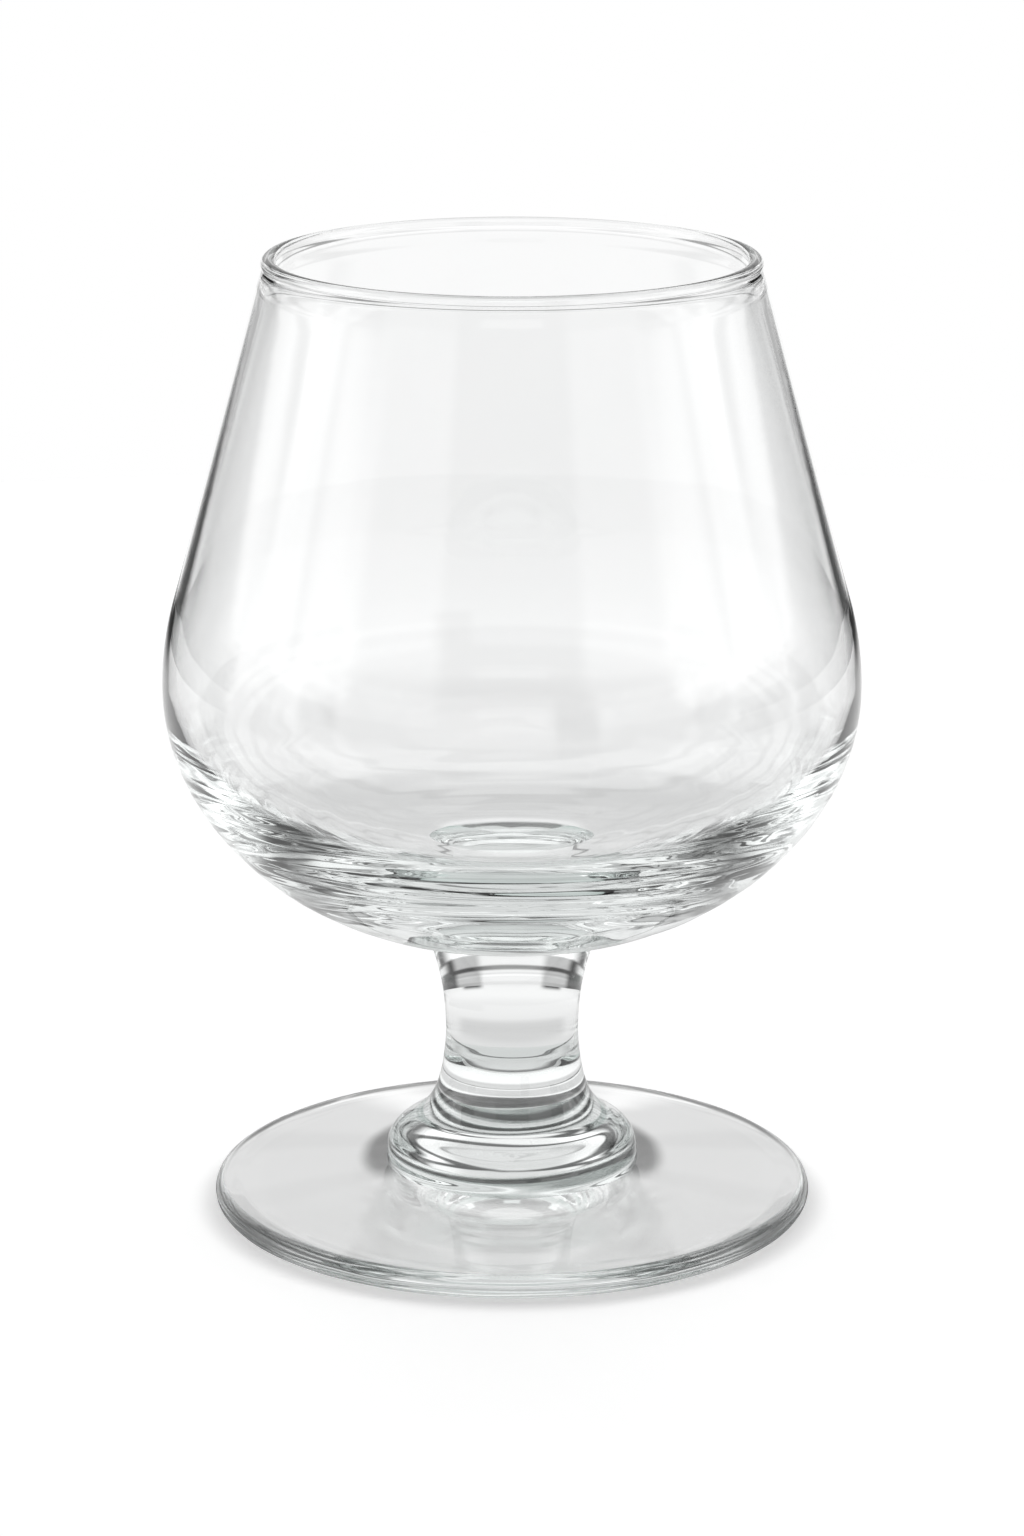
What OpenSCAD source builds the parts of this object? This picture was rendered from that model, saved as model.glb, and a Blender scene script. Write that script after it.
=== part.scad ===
// Brandy snifter: a wide bowl that narrows to the rim, on a short solid stem, a knop and a flat foot.
// All lengths are in millimetres. The origin is on the axis, on the table, and +Z points up.
// The glass is built as it is made: four gathers, turned about the axis and joined face to face.

/* [Bowl outside] */
// Height of the bowl, from its joint with the stem to the rim
bowl_h = 78.9; // [68:0.1:92]
// Widest outside diameter of the bowl
belly_d = 81; // [74:0.5:90]
// Height of the widest place above the joint with the stem
belly_rise = 28.8; // [24:0.1:36]
// Radius of the curve that turns the belly into the straight upper wall
shoulder_r = 37.2; // [24:0.1:48]
// How far the curve under the belly keeps falling, as a share of the belly's rise
under_fall_share = 0.576; // [0.4:0.001:0.8]
// How far the underside runs out level from the stem, as a share of its reach
under_run_share = 0.424; // [0.25:0.001:0.7]

/* [Rim] */
// Outside diameter of the rim
rim_d = 57; // [50:0.5:66]
// Thickness of the round bead that the flame leaves on the rim
bead_d = 1.7; // [1.4:0.05:2.4]
// How far the bead stands out from the wall below it
bead_proud = 0.25; // [0.05:0.01:0.35]

/* [Bowl inside] */
// Thickness of the wall just below the rim
rim_wall = 1.2; // [0.9:0.05:1.6]
// Thickness of the wall at the belly
belly_wall = 1.4; // [1:0.05:2.2]
// Thickness of the glass under the drink, on the axis
base_wall = 6.9; // [4:0.1:11]
// How much higher the inside is widest than the outside
cavity_lift = 1.1; // [0:0.1:3]
// How far the curve inside the belly keeps falling, as a share of its depth
cavity_fall_share = 0.68; // [0.5:0.001:0.85]
// How far the floor of the bowl runs level, as a share of its radius
cavity_run_share = 0.587; // [0.4:0.001:0.75]

/* [Stem] */
// Height of the stem, from the knop to the bowl
stem_h = 16.6; // [12:0.1:24]
// Diameter of the stem at its waist
waist_d = 15.66; // [12:0.02:19]
// Height of the waist above the joint with the knop
waist_rise = 3.67; // [2:0.01:7]
// Radius of the hollow curve from the waist up to the bowl
upper_flare_r = 31.4; // [26:0.1:60]
// Radius of the hollow curve from the waist down to the knop
lower_flare_r = 25.7; // [15:0.1:50]

/* [Knop] */
// Height of the knop, from the foot to the stem
knop_h = 12.65; // [10:0.05:18]
// Diameter of the knop at its shoulder
knop_d = 29.8; // [25:0.1:36]
// Height of the upright side under the shoulder
knop_side_h = 0.5; // [0.2:0.1:2]
// How long the neck keeps to the line of the stem, as a share of the knop's slope
neck_pull_share = 0.856; // [0.6:0.001:0.95]
// How round the shoulder is, as a share of the knop's slope
shoulder_pull_share = 0.524; // [0.3:0.001:0.7]

/* [Foot] */
// Diameter of the foot
foot_d = 70.6; // [60:0.2:82]
// Height of the foot where the knop stands on it
foot_h = 4.85; // [3.8:0.05:7]
// Thickness of the foot's rounded edge
foot_edge_t = 2.9; // [2:0.05:3.4]
// Width of the flat ring that the glass stands on
rest_ring_w = 2.2; // [1:0.1:5]
// Height of the shallow hollow under the foot
hollow_h = 0.8; // [0.3:0.05:1.5]

/* [Smoothness] */
// Number of straight pieces in each curve of an outline
curve_steps = 20; // [16:1:48]
// Number of sides drawn round the axis
$fn = 120; // [48:12:180]

/* [Hidden] */
glass_tint = [0.86, 0.90, 0.89, 0.45];
mm3_per_ml = 1000;

// Heights of the joints above the table
knop_base_z = foot_h;
stem_base_z = knop_base_z + knop_h;
bowl_base_z = stem_base_z + stem_h;

// The stem's radius at each joint, which the bowl and the knop share
function flare_reach(flare_r, rise) = flare_r - sqrt(pow(flare_r, 2) - pow(rise, 2));
waist_r = waist_d / 2;
stem_top_r = waist_r + flare_reach(upper_flare_r, stem_h - waist_rise);
stem_base_r = waist_r + flare_reach(lower_flare_r, waist_rise);
stem_base_lean = asin(waist_rise / lower_flare_r);

// Points of an arc from one angle to another
function arc(centre, radius, from, to) = [
    for (i = [0 : curve_steps])
        let (angle = from + (to - from) * i / curve_steps)
        centre + radius * [cos(angle), sin(angle)]
];

// Points of a smooth curve that leaves a for b and comes to d from c
function bend(a, b, c, d) = [
    for (i = [0 : curve_steps])
        let (t = i / curve_steps, u = 1 - t)
        pow(u, 3) * a + 3 * pow(u, 2) * t * b + 3 * u * pow(t, 2) * c + pow(t, 3) * d
];

// Angle at which a line from a point touches a circle, on the left as seen from the circle
function touch_angle(centre, radius, point) =
    let (away = point - centre) atan2(away.y, away.x) - acos(radius / norm(away));

function reversed(points) = [for (i = [len(points) - 1 : -1 : 0]) points[i]];

// Wall under the belly: level at its base, upright at the belly
function under_belly(base, belly, run_share, fall_share) = bend(
    base,
    base + [run_share * (belly.x - base.x), 0],
    belly - [0, fall_share * (belly.y - base.y)],
    belly
);

// Wall above the belly: an arc that runs into the straight line to the rim
function over_belly(belly, radius, rim) =
    let (centre = belly - [radius, 0])
    concat(arc(centre, radius, 0, touch_angle(centre, radius, rim)), [rim]);

bead_centre = [rim_d / 2 - bead_d / 2, bowl_base_z + bowl_h - bead_d / 2];
rim_outer = [rim_d / 2 - bead_proud, bead_centre.y];
rim_inner = rim_outer - [rim_wall, 0];
belly_outer = [belly_d / 2, bowl_base_z + belly_rise];
belly_inner = belly_outer + [-belly_wall, cavity_lift];
bowl_floor = [0, bowl_base_z + base_wall];

outside_wall = concat(
    under_belly([stem_top_r, bowl_base_z], belly_outer, under_run_share, under_fall_share),
    over_belly(belly_outer, shoulder_r, rim_outer)
);
inside_wall = concat(
    under_belly(bowl_floor, belly_inner, cavity_run_share, cavity_fall_share),
    over_belly(belly_inner, shoulder_r - belly_wall, rim_inner)
);

// Volume inside an outline turned about the axis, as a stack of frustums
function turned_volume(points, i = 0) = i >= len(points) - 1 ? 0 :
    let (low = points[i], high = points[i + 1])
    PI / 3 * (high.y - low.y) * (pow(low.x, 2) + low.x * high.x + pow(high.x, 2))
    + turned_volume(points, i + 1);

echo(brim_capacity_ml = turned_volume(inside_wall) / mm3_per_ml);

// Bowl, with the bead round its rim and a flat face for the stem under it
module bowl() {
    color(glass_tint)
    rotate_extrude() {
        polygon(concat([[0, bowl_base_z]], outside_wall, reversed(inside_wall)));
        translate(bead_centre) circle(d = bead_d);
    }
}

// Solid stem, narrowest at its waist, with a hollow curve above and below
module stem() {
    waist_z = stem_base_z + waist_rise;
    upper_angle = asin((stem_h - waist_rise) / upper_flare_r);
    color(glass_tint)
    rotate_extrude()
    polygon(concat(
        [[0, stem_base_z]],
        arc([waist_r + lower_flare_r, waist_z], lower_flare_r, 180 + stem_base_lean, 180),
        arc([waist_r + upper_flare_r, waist_z], upper_flare_r, 180, 180 - upper_angle),
        [[0, bowl_base_z]]
    ));
}

// Knop: carries on the stem's flare, then turns over a round shoulder to an upright side
module knop() {
    neck = [stem_base_r, stem_base_z];
    side_top = [knop_d / 2, knop_base_z + knop_side_h];
    slope_h = neck.y - side_top.y;
    color(glass_tint)
    rotate_extrude()
    polygon(concat(
        [[0, knop_base_z], [knop_d / 2, knop_base_z]],
        bend(
            side_top,
            side_top + [0, shoulder_pull_share * slope_h],
            neck + neck_pull_share * slope_h * [sin(stem_base_lean), -cos(stem_base_lean)],
            neck
        ),
        [[0, stem_base_z]]
    ));
}

// Foot: a disc that thins to a round edge, hollow underneath, resting on a flat ring
module foot() {
    edge_r = foot_edge_t / 2;
    edge_centre = [foot_d / 2 - edge_r, edge_r];
    hollow_edge_r = edge_centre.x - rest_ring_w;
    hollow_r = (pow(hollow_edge_r, 2) + pow(hollow_h, 2)) / (2 * hollow_h);
    hollow_angle = asin(hollow_edge_r / hollow_r);
    knop_foot = [knop_d / 2, foot_h];
    color(glass_tint)
    rotate_extrude()
    polygon(concat(
        arc([0, hollow_h - hollow_r], hollow_r, 90, 90 - hollow_angle),
        arc(edge_centre, edge_r, -90, touch_angle(edge_centre, edge_r, knop_foot)),
        [knop_foot, [0, foot_h]]
    ));
}

bowl();
stem();
knop();
foot();
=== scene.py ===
# %% [markdown]
# # A brandy snifter in clear glass
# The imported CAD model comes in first, as a frame that never moves. Everything made here is measured
# from it, in metres, with the foot on the table at height zero and the glass's axis along Z.
# %% Load the frame
import math
import bmesh
import bpy
import numpy as np
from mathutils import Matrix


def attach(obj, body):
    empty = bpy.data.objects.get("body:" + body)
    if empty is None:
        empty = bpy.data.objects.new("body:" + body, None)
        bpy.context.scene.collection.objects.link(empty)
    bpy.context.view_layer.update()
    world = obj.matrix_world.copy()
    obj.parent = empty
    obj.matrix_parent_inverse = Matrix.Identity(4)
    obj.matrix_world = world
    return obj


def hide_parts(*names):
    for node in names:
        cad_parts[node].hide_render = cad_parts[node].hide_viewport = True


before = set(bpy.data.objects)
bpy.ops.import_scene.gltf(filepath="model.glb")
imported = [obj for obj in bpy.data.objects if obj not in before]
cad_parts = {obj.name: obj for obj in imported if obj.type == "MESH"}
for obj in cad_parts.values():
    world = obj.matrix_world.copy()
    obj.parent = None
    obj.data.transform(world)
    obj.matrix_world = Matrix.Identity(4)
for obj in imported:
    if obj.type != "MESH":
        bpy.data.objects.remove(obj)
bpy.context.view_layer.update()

# %% [markdown]
# ## Sizes of the glass
# A glassmaker thinks of a turned outline: how far from the axis the skin is at each height. These are
# the same sizes that the CAD solids are made from, in millimetres. Here the outline gets far more
# points, because a bent ray shows every facet of clear glass.
# %% Sizes, in millimetres
MM = 0.001

# Bowl: its outside, its bead, its walls and its floor
RIM_R, BELLY_R, BOWL_H, BELLY_RISE, SHOULDER_R = 28.5, 40.5, 78.9, 28.8, 37.2
BEAD_R, BEAD_PROUD = 0.85, 0.25
RIM_WALL, BELLY_WALL, BASE_WALL, CAVITY_LIFT = 1.2, 1.4, 6.9, 1.1
# How far the curves under the belly run level and fall, as shares: outside, then inside
UNDER_RUN, UNDER_FALL = 0.424, 0.576
FLOOR_RUN, FLOOR_FALL = 0.587, 0.68

# Stem: its height, its waist and the hollow curves above and below the waist
STEM_H, WAIST_R, WAIST_RISE, UPPER_FLARE_R, LOWER_FLARE_R = 16.6, 7.83, 3.67, 31.4, 25.7

# Knop: its size, and how long its shoulder and its neck hold their line, as shares of its slope
KNOP_H, KNOP_R, KNOP_SIDE_H = 12.65, 14.9, 0.5
SHOULDER_PULL, NECK_PULL = 0.524, 0.856

# Foot: its size, its round edge, the ring that it stands on and the hollow underneath
FOOT_R, FOOT_H, FOOT_EDGE_R, REST_RING_W, HOLLOW_H = 35.3, 4.85, 1.45, 2.2, 0.8

KNOP_BASE_Z = FOOT_H
STEM_BASE_Z = KNOP_BASE_Z + KNOP_H
BOWL_BASE_Z = STEM_BASE_Z + STEM_H
print("joints at", KNOP_BASE_Z, STEM_BASE_Z, BOWL_BASE_Z, "mm; rim at", BOWL_BASE_Z + BOWL_H, "mm")


# %% [markdown]
# ## Drawing an outline
# A curve can be drawn with Blender's own curve objects, or as plain points. Plain points are easier to
# join end to end and to measure, so an arc, a Bezier bend and a straight run are three small functions.
# %% Arcs, bends and straight runs
def arc(centre, radius, start, end, steps):
    """Points round a centre, from one angle to another in degrees."""
    turn = np.radians(np.linspace(start, end, steps + 1))
    return np.array(centre) + radius * np.c_[np.cos(turn), np.sin(turn)]


def heading(angle):
    """Direction in which an arc runs where it is at an angle, in degrees."""
    return np.array([-math.sin(math.radians(angle)), math.cos(math.radians(angle))])


def bend(a, b, c, d, steps):
    """Points of a smooth curve that leaves a towards b and comes to d from c."""
    a, b, c, d = map(np.array, (a, b, c, d))
    t = np.linspace(0, 1, steps + 1)[:, None]
    u = 1 - t
    return u**3 * a + 3 * u**2 * t * b + 3 * u * t**2 * c + t**3 * d


def run(a, b, steps=1):
    """Evenly spaced points on a straight line."""
    t = np.linspace(0, 1, steps + 1)[:, None]
    return (1 - t) * np.array(a) + t * np.array(b)


def touch_angle(centre, radius, point):
    """Angle in degrees at which a line from a point touches a circle."""
    away = np.array(point) - np.array(centre)
    return math.degrees(math.atan2(away[1], away[0]) - math.acos(radius / np.hypot(*away)))


def joined(*runs):
    """One outline from several, with no point twice."""
    points = np.concatenate(runs)
    step = np.hypot(*np.diff(points, axis=0).T)
    return points[np.r_[True, step > 1e-6]]


print("a quarter turn of radius 1 ends at", arc([0, 0], 1, 0, 90, 8)[-1].round(3))


# %% [markdown]
# ## The bowl's outline
# The bowl is blown, so its wall is thin and even above a thick base. Its outline starts on the joint
# with the stem, climbs the outside, goes round the bead and comes down the inside to the floor. Arcs
# alone would leave a notch beside the bead, as in the CAD model. The flame leaves the rim soft, so
# two short bends blend the bead into the wall here.
# %% Outline of the bowl
BLEND_OUTSIDE, BLEND_INSIDE = 2.4, 3.6
BEAD_FROM, BEAD_TO = -16, 186
# Lengths of the blends' handles: on the wall outside, on the bead, on the bead and on the wall inside
WALL_OUT_PULL, BEAD_OUT_PULL, BEAD_IN_PULL, WALL_IN_PULL = 1.0, 0.6, 1.2, 1.4


def under_belly(base, belly, run_share, fall_share, steps):
    """Wall under the belly: level at its base, upright at the belly."""
    out = np.array([run_share * (belly[0] - base[0]), 0])
    down = np.array([0, fall_share * (belly[1] - base[1])])
    return bend(base, base + out, belly - down, belly, steps)


def over_belly(belly, radius, rim, steps):
    """Arc above the belly, and the direction of the straight wall that goes on from it to the rim."""
    centre = belly - np.array([radius, 0])
    curve = arc(centre, radius, 0, touch_angle(centre, radius, rim), steps)
    lean = np.array(rim) - curve[-1]
    return curve, lean / np.hypot(*lean)


upper_angle = math.degrees(math.asin((STEM_H - WAIST_RISE) / UPPER_FLARE_R))
stem_top_r = WAIST_R + UPPER_FLARE_R * (1 - math.cos(math.radians(upper_angle)))
stem_top = np.array([stem_top_r, BOWL_BASE_Z])

bead = np.array([RIM_R - BEAD_R, BOWL_BASE_Z + BOWL_H - BEAD_R])
rim_outer = bead + [BEAD_R - BEAD_PROUD, 0]
rim_inner = rim_outer - [RIM_WALL, 0]
belly_outer = np.array([BELLY_R, BOWL_BASE_Z + BELLY_RISE])
belly_inner = belly_outer + [-BELLY_WALL, CAVITY_LIFT]
bowl_floor = np.array([0, BOWL_BASE_Z + BASE_WALL])

outer_curve, outer_lean = over_belly(belly_outer, SHOULDER_R, rim_outer, steps=44)
inner_curve, inner_lean = over_belly(belly_inner, SHOULDER_R - BELLY_WALL, rim_inner, steps=44)
wall_out = rim_outer - BLEND_OUTSIDE * outer_lean
wall_in = rim_inner - BLEND_INSIDE * inner_lean
bead_arc = arc(bead, BEAD_R, BEAD_FROM, BEAD_TO, steps=22)
onto_bead = bend(wall_out, wall_out + WALL_OUT_PULL * outer_lean,
                 bead_arc[0] - BEAD_OUT_PULL * heading(BEAD_FROM), bead_arc[0], steps=8)
off_bead = bend(bead_arc[-1], bead_arc[-1] + BEAD_IN_PULL * heading(BEAD_TO),
                wall_in + WALL_IN_PULL * inner_lean, wall_in, steps=16)

bowl_outline = joined(
    run([0, BOWL_BASE_Z], stem_top),
    under_belly(stem_top, belly_outer, UNDER_RUN, UNDER_FALL, steps=150),
    outer_curve,
    run(outer_curve[-1], wall_out, steps=24),
    onto_bead,
    bead_arc,
    off_bead,
    run(wall_in, inner_curve[-1], steps=24),
    inner_curve[::-1],
    under_belly(bowl_floor, belly_inner, FLOOR_RUN, FLOOR_FALL, steps=170)[::-1],
)
print("bowl outline:", len(bowl_outline), "points; widest", round(2 * bowl_outline[:, 0].max(), 2), "mm")

# %% [markdown]
# ## The stem, the knop and the foot
# All three are solid gathers of hot glass. Their outlines also run from the axis to the axis, with a
# flat joint face where another gather is welded on. The knop carries on the stem's flare, so no line
# shows between them. The foot's joint is part of its level top.
# %% Outlines of the stem, the knop and the foot
stem_lean = math.degrees(math.asin(WAIST_RISE / LOWER_FLARE_R))
neck = np.array([WAIST_R + LOWER_FLARE_R * (1 - math.cos(math.radians(stem_lean))), STEM_BASE_Z])
waist_z = STEM_BASE_Z + WAIST_RISE
stem_outline = joined(
    run([0, STEM_BASE_Z], neck),
    arc([WAIST_R + LOWER_FLARE_R, waist_z], LOWER_FLARE_R, 180 + stem_lean, 180, steps=30),
    arc([WAIST_R + UPPER_FLARE_R, waist_z], UPPER_FLARE_R, 180, 180 - upper_angle, steps=110),
    run(stem_top, [0, BOWL_BASE_Z]),
)

side_top = np.array([KNOP_R, KNOP_BASE_Z + KNOP_SIDE_H])
slope_h = neck[1] - side_top[1]
neck_line = -heading(stem_lean)
knop_outline = joined(
    run([0, KNOP_BASE_Z], [KNOP_R, KNOP_BASE_Z]),
    run([KNOP_R, KNOP_BASE_Z], side_top, steps=4),
    bend(side_top, side_top + [0, SHOULDER_PULL * slope_h], neck + NECK_PULL * slope_h * neck_line, neck,
         steps=150),
    run(neck, [0, STEM_BASE_Z]),
)

edge = np.array([FOOT_R - FOOT_EDGE_R, FOOT_EDGE_R])
hollow_edge_r = edge[0] - REST_RING_W
hollow_r = (hollow_edge_r**2 + HOLLOW_H**2) / (2 * HOLLOW_H)
hollow_angle = math.degrees(math.asin(hollow_edge_r / hollow_r))
knop_foot = np.array([KNOP_R, FOOT_H])
edge_arc = arc(edge, FOOT_EDGE_R, -90, touch_angle(edge, FOOT_EDGE_R, knop_foot), steps=40)
foot_outline = joined(
    arc([0, HOLLOW_H - hollow_r], hollow_r, 90, 90 - hollow_angle, steps=90),
    run([hollow_edge_r, 0], edge_arc[0], steps=6),
    edge_arc,
    run(edge_arc[-1], knop_foot, steps=60),
    run(knop_foot, [0, FOOT_H]),
)
print("points: stem", len(stem_outline), "- knop", len(knop_outline), "- foot", len(foot_outline))


# %% [markdown]
# ## The maker's hand
# Real pressed and blown glass is never quite true. Its skin swells and dips by hundredths of a
# millimetre, and by a tenth at most, and that breaks what one sees through a thick base into streaks.
# Noise from a texture could do this too, but a sum of slow waves can be aimed: it runs round the glass
# or along the outline at will, and fades out where it should. Each piece's waves get random paces and
# phases from a seed of their own.
# %% Slow waves
def fade(value, start, end):
    """0 at start and 1 at end, smoothly, and level beyond them. Start may be the larger."""
    t = np.clip((value - start) / (end - start), 0, 1)
    return t * t * (3 - 2 * t)


def waves(seed, count, turns, lengths):
    """Rows for swell(): turns round the glass, pace along the outline, phase and wave length."""
    rng = np.random.default_rng(seed)
    rows = []
    for _ in range(count):
        length = rng.uniform(*lengths)
        around = rng.integers(turns[0], turns[1] + 1) * rng.choice([-1, 1])
        rows.append((around, 2 * math.pi / length, rng.uniform(0, 2 * math.pi), length))
    return rows


def swell(angle, along, rows):
    """Sum of the waves at an angle round the glass and a distance along its outline. Longer is higher."""
    total = np.zeros_like(angle)
    weight = 0
    for turns, pace, phase, length in rows:
        total += length * np.sin(turns * angle + pace * along + phase)
        weight += length**2
    return total / math.sqrt(weight / 2)


sample = swell(np.linspace(0, 2 * math.pi, 500), np.linspace(0, 60, 500), waves(11, 9, (0, 2), (3.2, 8)))
print("a swell runs from", round(float(sample.min()), 2), "to", round(float(sample.max()), 2))


# %% [markdown]
# ## Turning an outline
# Blender's Screw modifier turns the outline as a lathe would, and its result is kept as a plain mesh,
# so that its points can still be moved along their normals by the waves. The waves are drawn in a
# little, so that the skin stays inside the CAD solid. Faces on a joint get the second material and are
# drawn back by half a thousandth of a millimetre, as two faces in one place would flicker.
# %% Turn an outline into a closed, slightly wavy solid
# Steps round the axis, and how far a joint's face is drawn back, in millimetres
AROUND, JOINT_GAP = 192, 0.0005
# How far the waves are drawn in, in parts of their size
DRAWN_IN, EDGE_DRAWN_IN = 1.6, 2.6
# Size of the waves on the foot's round edge, and the radii over which they come in, in millimetres
EDGE_WAVE, EDGE_WAVE_FADE = 0.007, (31.5, 33.5)
# Distance in metres under which two places are one
NEAR = 1e-7


def read(layer, field, width):
    """The values of one field of a mesh's layer, as rows of numbers."""
    values = np.empty(len(layer) * width)
    layer.foreach_get(field, values)
    return values.reshape(-1, width)


def lathed(name, outline):
    """A mesh of the outline turned about the axis. Its points know how far along the outline they are."""
    string = bpy.data.meshes.new(name + " outline")
    points = [(r * MM, 0, z * MM) for r, z in outline]
    string.from_pydata(points, [(i, i + 1) for i in range(len(points) - 1)], [])
    travelled = np.r_[0, np.cumsum(np.hypot(*np.diff(outline, axis=0).T))]
    string.attributes.new("along", "FLOAT", "POINT").data.foreach_set("value", travelled)
    lathe = bpy.data.objects.new(name + " outline", string)
    bpy.context.scene.collection.objects.link(lathe)
    screw = lathe.modifiers.new("lathe", "SCREW")
    screw.angle = 2 * math.pi
    screw.steps = AROUND
    screw.render_steps = AROUND
    screw.use_merge_vertices = True
    screw.merge_threshold = 1e-6
    screw.use_smooth_shade = True
    screw.use_normal_flip = True
    turned = lathe.evaluated_get(bpy.context.evaluated_depsgraph_get())
    mesh = bpy.data.meshes.new_from_object(turned)
    mesh.name = name
    bpy.data.objects.remove(lathe)
    return mesh


def joint_faces(outline):
    """Height, reach and inward direction of each level run between the axis and the skin."""
    return [(z, max(r, s), 1 if r < s else -1) for (r, z), (s, y) in zip(outline, outline[1:])
            if min(r, s) == 0 and abs(y - z) < 1e-9]


def turn_piece(name, outline, depth, rows, edge_rows=None):
    """A wavy solid of revolution. depth(radius, height, facing) gives the waves' size in millimetres."""
    mesh = lathed(name, outline)
    place = read(mesh.vertices, "co", 3)
    normal = read(mesh.vertices, "normal", 3)
    along = read(mesh.attributes["along"].data, "value", 1)[:, 0]
    radius = np.hypot(place[:, 0], place[:, 1])
    angle = np.arctan2(place[:, 1], place[:, 0])
    push = depth(radius / MM, place[:, 2] / MM, normal[:, 2]) * (swell(angle, along, rows) - DRAWN_IN)
    if edge_rows:
        at_edge = fade(radius / MM, *EDGE_WAVE_FADE)
        push += EDGE_WAVE * at_edge * (swell(angle, along, edge_rows) - EDGE_DRAWN_IN)
    moved = place + normal * (push * MM)[:, None]

    ends = read(mesh.edges, "vertices", 2).astype(int)
    middle = read(mesh.polygons, "center", 3)
    middle_r = np.hypot(middle[:, 0], middle[:, 1])
    sharp = np.zeros(len(ends), bool)
    material = np.zeros(len(middle), int)
    for height, reach, inward in joint_faces(outline):
        level = abs(place[:, 2] - height * MM) < NEAR
        on_ring = level & (abs(radius - reach * MM) < NEAR)
        sharp |= on_ring[ends[:, 0]] & on_ring[ends[:, 1]]
        material[(abs(middle[:, 2] - height * MM) < NEAR) & (middle_r < reach * MM)] = 1
        moved[level, 2] += inward * JOINT_GAP * MM
    mesh.vertices.foreach_set("co", moved.ravel())
    mesh.polygons.foreach_set("material_index", material)
    mesh.polygons.foreach_set("use_smooth", material == 0)
    mesh.edges.foreach_set("use_edge_sharp", sharp)
    mesh.update()

    piece = bpy.data.objects.new(name, mesh)
    bpy.context.scene.collection.objects.link(piece)
    outward = np.einsum("ij,ij->i", middle, read(mesh.polygons, "normal", 3)).sum() > 0
    print(name, len(mesh.polygons), "faces,", int(material.sum()), "at joints,", int(sharp.sum()),
          "sharp edges, facing", "out" if outward else "in", "- waves", round(float(np.ptp(push)), 3), "mm")
    return piece


# %% [markdown]
# ## The bowl
# The waves are strong in the bowl's thick base, inside and out, and all but gone in its blown wall,
# where the photograph shows clean, even glass. They stop at the joint and below the bead.
# %% Bowl
BASE_WAVE, WALL_WAVE = 0.014, 0.0006
# Heights over which the waves fade: above the thick base, up to the wall, and below the bead
BASE_FADE, WALL_FADE, BEAD_FADE = (45, 52), (52, 60), (106, 111)


def bowl_depth(radius, height, facing):
    low = 1 - 0.7 * fade(height, *BASE_FADE) - 0.3 * fade(height, *WALL_FADE)
    from_joint = fade(height, BOWL_BASE_Z, BOWL_BASE_Z + 1.5)
    return (WALL_WAVE + BASE_WAVE * low) * from_joint * (1 - fade(height, *BEAD_FADE))


bowl = turn_piece("Bowl", bowl_outline, bowl_depth, waves(11, 9, (0, 2), (3.2, 8)))


# %% [markdown]
# ## The stem, the knop and the foot, turned
# The stem is drawn while it is hot, so its skin is smooth. The knop is pressed, and its waves are the
# deepest: they nest the arcs of light in it. The foot's top is nearly true. Its round edge was never
# polished, and short waves break the light in it into dashes.
# %% Stem, knop and foot
STEM_WAVE, KNOP_WAVE, FOOT_WAVE = 0.004, 0.020, 0.002
# Radii over which the foot's waves fade: inwards of its resting ring, and outwards at its edge
RING_FADE, EDGE_FADE = (32, 29), (34.6, 35.2)


def stem_depth(radius, height, facing):
    from_knop = fade(height, STEM_BASE_Z, STEM_BASE_Z + 2)
    return STEM_WAVE * from_knop * (1 - fade(height, BOWL_BASE_Z - 2, BOWL_BASE_Z))


def knop_depth(radius, height, facing):
    from_foot = fade(height, KNOP_BASE_Z, KNOP_BASE_Z + 1.5)
    return KNOP_WAVE * from_foot * (1 - fade(height, STEM_BASE_Z - 2, STEM_BASE_Z))


def foot_depth(radius, height, facing):
    inside_ring = fade(radius, *RING_FADE)
    outside_knop = fade(radius, KNOP_R, KNOP_R + 2)
    return FOOT_WAVE * np.where(facing < 0, inside_ring, outside_knop) * (1 - fade(radius, *EDGE_FADE))


stem = turn_piece("Stem", stem_outline, stem_depth, waves(5, 8, (0, 3), (4, 10)))
knop = turn_piece("Knop", knop_outline, knop_depth, waves(8, 10, (0, 2), (2, 6)))
foot = turn_piece("Foot", foot_outline, foot_depth, waves(3, 12, (0, 7), (5, 14)),
                  edge_rows=waves(4, 9, (7, 22), (1.3, 2.8)))


# %% [markdown]
# ## Shader sums as plain Python
# Nodes can be wired by hand, one call at a time. Here one small class wraps a socket, so that a sum of
# values is written as a sum and adds its own Math nodes. A bench is one node tree, and its add() takes
# a node's type, its settings and the values or wires of its sockets.
# %% Wires, benches and bands
class Wire:
    """A value on its way through a node tree."""

    def __init__(self, bench, socket):
        self.bench = bench
        self.socket = socket

    def sum(self, operation, first, second):
        return self.bench.add("Math", {"operation": operation}, {0: first, 1: second})

    def __add__(self, other):
        return self.sum("ADD", self, other)

    def __radd__(self, other):
        return self.sum("ADD", other, self)

    def __sub__(self, other):
        return self.sum("SUBTRACT", self, other)

    def __rsub__(self, other):
        return self.sum("SUBTRACT", other, self)

    def __mul__(self, other):
        return self.sum("MULTIPLY", self, other)

    def __rmul__(self, other):
        return self.sum("MULTIPLY", other, self)

    def __truediv__(self, other):
        return self.sum("DIVIDE", self, other)

    def __abs__(self):
        return self.bench.add("Math", {"operation": "ABSOLUTE"}, {0: self})

    def over(self, low, high):
        """0 below low and 1 above high, with a soft step between them."""
        return self.bench.add("MapRange", {"interpolation_type": "SMOOTHSTEP"},
                              {"Value": self, "From Min": low, "From Max": high})

    def other(self, out):
        """Another output of the node that this wire comes from."""
        return Wire(self.bench, self.socket.node.outputs[out])


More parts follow.
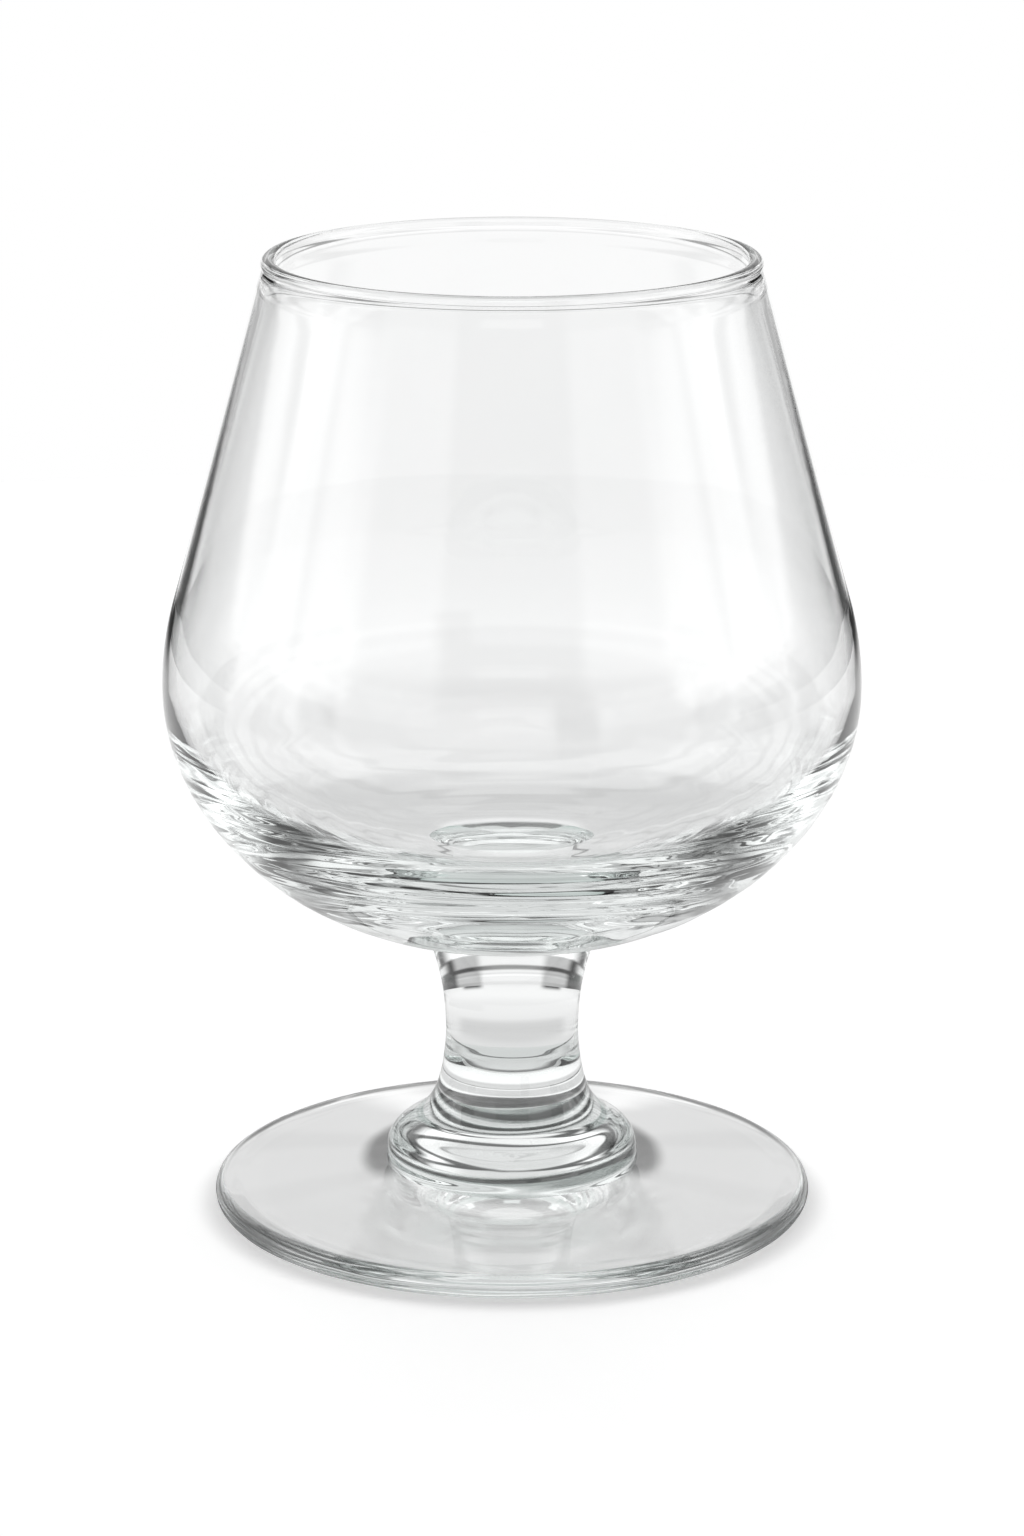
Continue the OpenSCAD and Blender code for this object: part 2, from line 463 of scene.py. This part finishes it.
class Bench:
    """One empty node tree, and the way to add nodes to it."""

    def __init__(self, tree):
        tree.nodes.clear()
        self.tree = tree

    def add(self, kind, settings=None, sockets=None, out=0):
        """Add a node: its settings first, then the values or wires of its sockets."""
        node = self.tree.nodes.new("ShaderNode" + kind)
        for name, value in (settings or {}).items():
            setattr(node, name, value)
        for name, value in (sockets or {}).items():
            if isinstance(value, Wire):
                self.tree.links.new(value.socket, node.inputs[name])
            else:
                node.inputs[name].default_value = value
        return Wire(self, node.outputs[out]) if node.outputs else node


def between(value, start, end):
    """1 from one soft step to another, each given as where it begins and where it ends."""
    return value.over(*start) - value.over(*end)


def band(value, low, high, soft):
    """1 between low and high, with edges that are soft to either side."""
    return between(value, (low - soft, low + soft), (high - soft, high + soft))


def bands(value, rows):
    """The sum of several bands, from rows of low, high and softness."""
    total = band(value, *rows[0])
    for row in rows[1:]:
        total = total + band(value, *row)
    return total


def bearing_of(bench, east, north):
    """Direction round the glass in degrees: 0 behind it as the camera sees it, 90 to its right."""
    return bench.add("Math", {"operation": "ARCTAN2"}, {0: east, 1: north}) * (180 / math.pi)


# %% [markdown]
# ## Clear glass
# Soda-lime glass bends light with an index of about 1.52. It looks clear in a thin wall and faintly
# grey-green through centimetres of it, so the tint is a volume that absorbs, not a coloured skin. The
# skin has a ripple too fine for the mesh. The underside of a foot is rubbed by every table, so a ring
# of it is slightly hazy, and that calms the mirror images of the knop. Where two pieces are fused there
# is no skin at all: the faces of a joint have a transparent finish and let light go straight on.
# %% Glass
INDEX = 1.52
TINT, TINT_PER_M = (0.80, 0.85, 0.835, 1), 7.0
CLEAR, CLEARER = (0.985, 0.99, 0.99, 1), (1, 1, 1, 1)
RIPPLES_PER_M, RIPPLE_STRENGTH, RIPPLE_M = (90, 90, 420), 0.006, 0.0005
CLOUDS_PER_M = 60
# Where the haze begins and ends, outwards from the axis, and the height below which it is, in metres
WORN_FROM, WORN_TO, WORN_BELOW = (0.0160, 0.0175), (0.0285, 0.0315), (0.0008, 0.0012)


def depth_tint(bench):
    """What the glass takes from the light on its way through."""
    return bench.add("VolumeAbsorption", {}, {"Color": TINT, "Density": TINT_PER_M})


def joint_finish():
    """A face where two pieces are fused."""
    finish = bpy.data.materials.new("fused joint")
    finish.use_nodes = True
    bench = Bench(finish.node_tree)
    through = bench.add("BsdfTransparent", {}, {"Color": (1, 1, 1, 1)})
    bench.add("OutputMaterial", {}, {"Surface": through, "Volume": depth_tint(bench)})
    return finish


def glass_finish(name, seed, worn):
    """Clear glass. The seed shifts the ripple, and worn is the roughness of the rubbed ring below."""
    finish = bpy.data.materials.new(name)
    finish.use_nodes = True
    bench = Bench(finish.node_tree)
    place = bench.add("TexCoord", out=3)
    stretched = bench.add("Mapping", {}, {"Vector": place, "Location": (seed, 0, 0), "Scale": RIPPLES_PER_M})
    ripple = bench.add("TexNoise", {}, {"Vector": stretched, "Scale": 1, "Detail": 1})
    skin = bench.add("Bump", {}, {"Height": ripple, "Strength": RIPPLE_STRENGTH, "Distance": RIPPLE_M})
    cloud = bench.add("TexNoise", {}, {"Vector": place, "Scale": CLOUDS_PER_M, "Detail": 2})
    clear = bench.add("Mix", {"data_type": "RGBA"}, {"Factor": cloud, 6: CLEAR, 7: CLEARER}, out=2)
    haze = 0.0
    if worn:
        height = bench.add("SeparateXYZ", {}, {0: place}).other(2)
        reach = bench.add("VectorMath", {"operation": "LENGTH"}, {0: place}, out=1)
        haze = worn * between(reach, WORN_FROM, WORN_TO) * (1 - height.over(*WORN_BELOW))
    surface = bench.add("BsdfPrincipled", {}, {
        "Base Color": clear, "Roughness": haze, "IOR": INDEX, "Transmission Weight": 1.0, "Normal": skin})
    bench.add("OutputMaterial", {}, {"Surface": surface, "Volume": depth_tint(bench)})
    return finish


fused = joint_finish()
for piece, node, seed, worn in ((bowl, "bowl", 0, 0), (stem, "stem", 3, 0), (knop, "knop", 7, 0),
                                (foot, "foot", 12, 0.09)):
    piece.data.materials.append(glass_finish("clear glass " + node, seed, worn))
    piece.data.materials.append(fused)
    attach(piece, "root")
    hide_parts(node)
print("finishes of the bowl:", [finish.name for finish in bowl.data.materials],
      "- nodes:", [len(finish.node_tree.nodes) for finish in bowl.data.materials])

# %% [markdown]
# ## The table
# The glass stands on a plain white table. A flat disc is enough for it, as the sky carries on where
# the disc ends. It lies 0.2 mm low, because the foot's ring and a table in one place would show as a
# broken white band.
# %% Table
TABLE_R, TABLE_Z = 0.42, -0.0002
table_maker = bmesh.new()
bmesh.ops.create_circle(table_maker, cap_ends=True, radius=TABLE_R, segments=128)
table_mesh = bpy.data.meshes.new("Table")
table_maker.to_mesh(table_mesh)
table_maker.free()
table = bpy.data.objects.new("Table", table_mesh)
table.location.z = TABLE_Z
bpy.context.scene.collection.objects.link(table)
print("table:", len(table_mesh.polygons), "face,", 2 * TABLE_R, "m across")

# %% [markdown]
# ## What the table gives the glass
# Clear glass shows nothing but its surroundings, so for rays through the glass the table glows with
# painted light and shade: white in the distance, painted grey round the foot and painted lighter under
# the knop's middle, a painted shadow of the knop and of the foot's edge, a painted shade behind the foot,
# and painted dark bands at its sides and far behind, where black cards would shade it. Seen straight
# from the camera it is white paper lit by the lamps, with its shadow, on an even glow with a painted
# contact shadow round the foot. Light Path's Is Camera Ray chooses between the two.
# %% Finish of the table, with distances in metres
PAINTED_LIGHT_AT_AXIS = 1.1
# Changes of the painted light, from lighter under the knop's middle to greyer round the foot, and the
# distances from the axis over which they come
PAINTED_LIGHT_STEPS = ((-0.37, 0.0105, 0.0125), (0.09, 0.036, 0.060), (0.08, 0.06, 0.13), (0.12, 0.13, 0.22),
               (-0.07, 0.25, 0.42))
# How dark each painted shade and each painted dark band is, where 1 would be black
EDGE_DARK, KNOP_DARK, BACK_DARK, SIDE_BAND_DARK, FAR_BAND_DARK = 0.85, 0.9, 0.2, 0.5, 0.9
# Centre of the painted shadow of the knop, a little behind the axis
KNOP_SHADE_CENTRE = (0, 0.006, 0)
# Even glow of the paper, the paper's own colour, and how dark the painted contact shadow round the foot is
PAPER_GLOW, PAPER_WHITE, TOUCH_DARK = 0.66, (0.9, 0.9, 0.9, 1), 0.38
table_finish = bpy.data.materials.new("white table")
table_finish.use_nodes = True
bench = Bench(table_finish.node_tree)
spot = bench.add("TexCoord", out=3)
away = bench.add("VectorMath", {"operation": "LENGTH"}, {0: spot}, out=1)
spot_x = bench.add("SeparateXYZ", {}, {0: spot})
spot_y = spot_x.other(1)
aside = abs(bearing_of(bench, spot_x, spot_y))

# Painted light and shade of the table as the glass sees it: lighter under the knop's middle, greyer round
# the foot, white again far off
white = PAINTED_LIGHT_AT_AXIS
for change, near, far in PAINTED_LIGHT_STEPS:
    white = white + change * away.over(near, far)
# Painted shadows: of the knop, thrown back on the table, of the foot's round edge, and a painted shade
# behind the foot
from_knop = bench.add("VectorMath", {"operation": "DISTANCE"}, {0: spot, 1: KNOP_SHADE_CENTRE}, out=1)
knop_shade = between(from_knop, (0.0115, 0.0125), (0.0162, 0.0185)) * (spot_y / away).over(-0.15, 0.2)
edge_shade = between(away, (0.0340, 0.0347), (0.0365, 0.0395))
back_shade = between(away, (0.045, 0.060), (0.080, 0.100)) * (1 - aside.over(30, 45))
# Painted dark bands at the table's sides and far behind, where black cards would shade it
painted_side_bands = band(aside, 67, 82, 4) * between(away, (0.13, 0.17), (0.24, 0.30))
painted_far_bands = band(aside, 17, 31, 3) * away.over(0.28, 0.40)
seen_through = white
for dark, shade in ((EDGE_DARK, edge_shade), (KNOP_DARK, knop_shade), (BACK_DARK, back_shade),
                    (SIDE_BAND_DARK, painted_side_bands), (FAR_BAND_DARK, painted_far_bands)):
    seen_through = seen_through * (1 - dark * shade)
bent = bench.add("Emission", {}, {"Color": seen_through, "Strength": 1.0})

# A painted contact shadow round the foot, darkening the paper's glow seen straight from the camera
touch_shade = 1 - away.over(0.0350, 0.0385)
glow = bench.add("Emission", {}, {"Color": PAPER_GLOW * (1 - TOUCH_DARK * touch_shade), "Strength": 1.0})
paper = bench.add("BsdfDiffuse", {}, {"Color": PAPER_WHITE})
direct = bench.add("AddShader", {}, {0: glow, 1: paper})
to_camera = bench.add("LightPath")
bench.add("OutputMaterial", {}, {"Surface": bench.add("MixShader", {}, {0: to_camera, 1: bent, 2: direct})})
table.data.materials.append(table_finish)
print("table finish:", len(bench.tree.nodes), "nodes")

# %% [markdown]
# ## The studio round the glass
# A photographer builds a set of white panels, soft boxes and black cards round a glass, and each draws
# a line in it. They could be planes and area lamps. Here they are painted on the sky by bearing and
# height, both in degrees, which has no noise and no edge in the wrong place. The glass is round, so
# most of them stand in pairs, left and right. Their numbers are brightnesses, and 1 is paper white.
# %% Bearings and heights in the studio, and its black cards
LEFT_AND_RIGHT_CARDS = (17, 31, 2)
SINGLE_CARDS = ((-121, -107, 2), (152, 166, 2), (-76, -60, 2), (46, 76, 2), (104, 118, 2))
world = bpy.data.worlds.new("Studio")
bpy.context.scene.world = world
world.use_nodes = True
bench = Bench(world.node_tree)
toward_x = bench.add("SeparateXYZ", {}, {0: bench.add("TexCoord", out=0)})
bearing = bearing_of(bench, toward_x, toward_x.other(1))
rise = bench.add("Math", {"operation": "ARCSINE"}, {0: toward_x.other(2)}) * (180 / math.pi)
side = abs(bearing)
above = rise.over(-0.6, 0.6)
cards = band(side, *LEFT_AND_RIGHT_CARDS) + bands(bearing, SINGLE_CARDS) * rise.over(-16, -4)
print("black cards:", 2 + len(SINGLE_CARDS))

# %% [markdown]
# ## Behind the glass
# The white backdrop gives the glass its clean middle, and its dim flanks draw the grey edges. Over it
# hangs a bright panel cut into strips by dark slats, like a blind. Thick glass bends it down and
# squeezes it into the fine lines of the base, the stem and the knop.
# %% Backdrop and blind
SLATTED = ((8.5, 14, 0.8), (16.5, 22, 0.8), (24.5, 34, 0.8), (37.5, 47, 1), (50, 62, 1))
backdrop = (1 - 0.45 * side.over(14, 20) - 0.55 * side.over(33, 42)) * band(rise, 0, 9.5, 1)
backdrop = backdrop * (1 - band(rise, 1.7, 3.4, 0.5) * (0.7 + 0.25 * side.over(6, 30)))
blind_light = bands(rise, SLATTED)
slats = band(rise, 8.5, 62, 1) * (1 - blind_light)
ahead = 1 - side.over(36, 56)
blind = ahead * (blind_light + 0.6 * slats * (1 - side.over(14, 26)) * (1 - rise.over(30, 34)))
blind = blind * (0.8 + 0.3 * side.over(14, 26) + 0.2 * rise.over(34, 38)) + 0.15 * slats * ahead
print("strips of the blind:", len(SLATTED), "- nodes so far:", len(bench.tree.nodes))

# %% [markdown]
# ## Beside the glass and over the camera
# Two soft boxes stand at the sides, with narrow strips in front of them that draw the bright dashes in
# the streaks. The room behind the camera is half dark, with one light high over the camera that makes
# the small glints on the front.
# %% Side lights and the room
strips = 0.8 * band(side, 50, 79, 8) * band(rise, 3.8, 7.6, 0.8)
strips = strips + band(side, 55, 88, 8) * band(rise, 16.5, 21, 1)
strips = strips + band(side, 66, 88, 6) * band(rise, 9.5, 14, 0.8)
strips = strips + 0.4 * band(side, 64, 84, 6) * band(rise, 0, 46, 2)
softboxes = band(side, 82, 99, 3) * band(rise, 6, 46, 2.5) + band(side, 101, 122, 7) * band(rise, 2, 16, 3)
behind_camera = band(side, 120, 155, 3) * (1 - rise.over(26, 36)) * above
over_camera = band(rise, 40, 50, 1.5) * side.over(160, 166)
ceiling = rise.over(66, 68)
skirting = above * (1 - rise.over(4, 8)) * side.over(76, 80) * (1 - cards)
print("nodes so far:", len(bench.tree.nodes))

# %% [markdown]
# ## The far table
# Below the horizon the sky carries on the table beyond its disc, at the same white, so that no edge
# shows. It is dark beyond the backdrop's flanks, which gives the bowl its dark outline.
# %% Far table and the whole sky
DIM_ROOM = 0.03
wings = side.over(15, 19) - side.over(72, 78)
wings = wings - 0.55 * rise.over(-6, -4.5) * (side.over(15, 19) - side.over(34, 42))
far_line = band(rise, -3.9, -2.6, 0.4) * (0.12 + 0.16 * side.over(10, 34) - 0.28 * side.over(46, 56))
far_table = (1 - far_line) * (1 - above) * (1 - 0.95 * wings - 0.75 * band(bearing, 78, 102, 2.5))
far_table = far_table * (1 - cards * side.over(76, 80))

surroundings = DIM_ROOM
for brightness, light in ((0.95, backdrop), (1, blind), (1, strips), (1.4, softboxes), (0.5, behind_camera),
                          (0.9, over_camera), (0.98, skirting), (0.95, far_table), (0.5, ceiling)):
    surroundings = surroundings + brightness * light
to_camera = bench.add("LightPath")
seen = bench.add("Mix", {"data_type": "FLOAT"}, {"Factor": to_camera, 2: surroundings, 3: 1.0})
sky = bench.add("Background", {}, {"Color": seen, "Strength": 1.0})
bench.add("OutputWorld", {}, {"Surface": sky})
print("sky:", len(bench.tree.nodes), "nodes")

# %% [markdown]
# ## The camera
# The photograph was taken from a little above, with a long lens. This camera's place, tilt and lens
# were fitted to the ellipses of the rim and of the foot, which fix how far down it looks and how far
# off it stands.
# %% Camera
LENS_MM, SENSOR_MM = 113.5, 36
CAMERA_PLACE, CAMERA_DOWN = (0, -0.5443, 0.2026), 15.40
eye = bpy.data.cameras.new("Camera")
eye.sensor_fit = "VERTICAL"
eye.sensor_height = SENSOR_MM
eye.lens = LENS_MM
camera = bpy.data.objects.new("Camera", eye)
camera.location = CAMERA_PLACE
camera.rotation_euler = (math.radians(90 - CAMERA_DOWN), 0, 0)
bpy.context.scene.collection.objects.link(camera)
bpy.context.scene.camera = camera
print("camera", round(math.hypot(*CAMERA_PLACE), 3), "m from the foot, looking down", CAMERA_DOWN, "degrees")

# %% [markdown]
# ## Light that passes through many skins
# A ray through the base of the bowl, the stem and the knop meets far more skins than through a window
# pane. With few bounces it would end in the dark and leave black patches, so it gets many.
# %% Bounces and view
MANY = 32
scene = bpy.context.scene
scene.cycles.max_bounces = MANY
scene.cycles.transmission_bounces = MANY
scene.cycles.transparent_max_bounces = MANY
scene.cycles.glossy_bounces = MANY // 2
scene.view_settings.view_transform = "Standard"
print("bounces:", scene.cycles.max_bounces, "- view:", scene.view_settings.view_transform)
